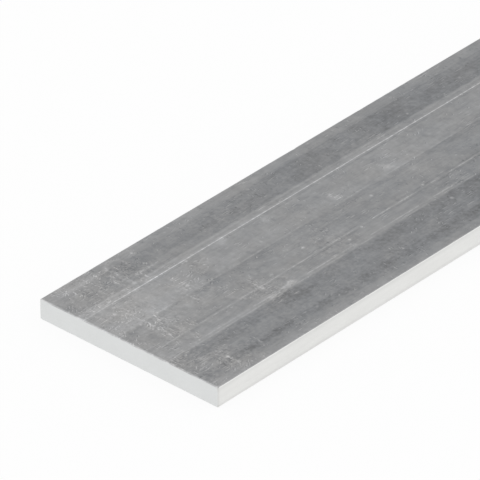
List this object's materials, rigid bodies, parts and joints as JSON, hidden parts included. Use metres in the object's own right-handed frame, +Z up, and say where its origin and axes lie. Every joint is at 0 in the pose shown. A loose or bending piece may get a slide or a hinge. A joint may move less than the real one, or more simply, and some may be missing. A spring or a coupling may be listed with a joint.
{
  "type": "metal flat bar",
  "caption": "Straight length of flat aluminium bar stock, ten times as wide as thick, with slightly rounded long edges and square sawn ends.",
  "frame": {"origin": "middle of the wide face that the bar lies on", "axes": "+X across the wide faces, +Y along the bar from one sawn end to the other, +Z up through the thickness"},
  "size_m": [0.03, 0.3, 0.003],
  "materials": {
    "mill_aluminium": "mill finish with die lines and handling scuffs"
  },
  "bodies": {
    "root": {"flat_bar": "mill_aluminium"}
  },
  "joints": []
}
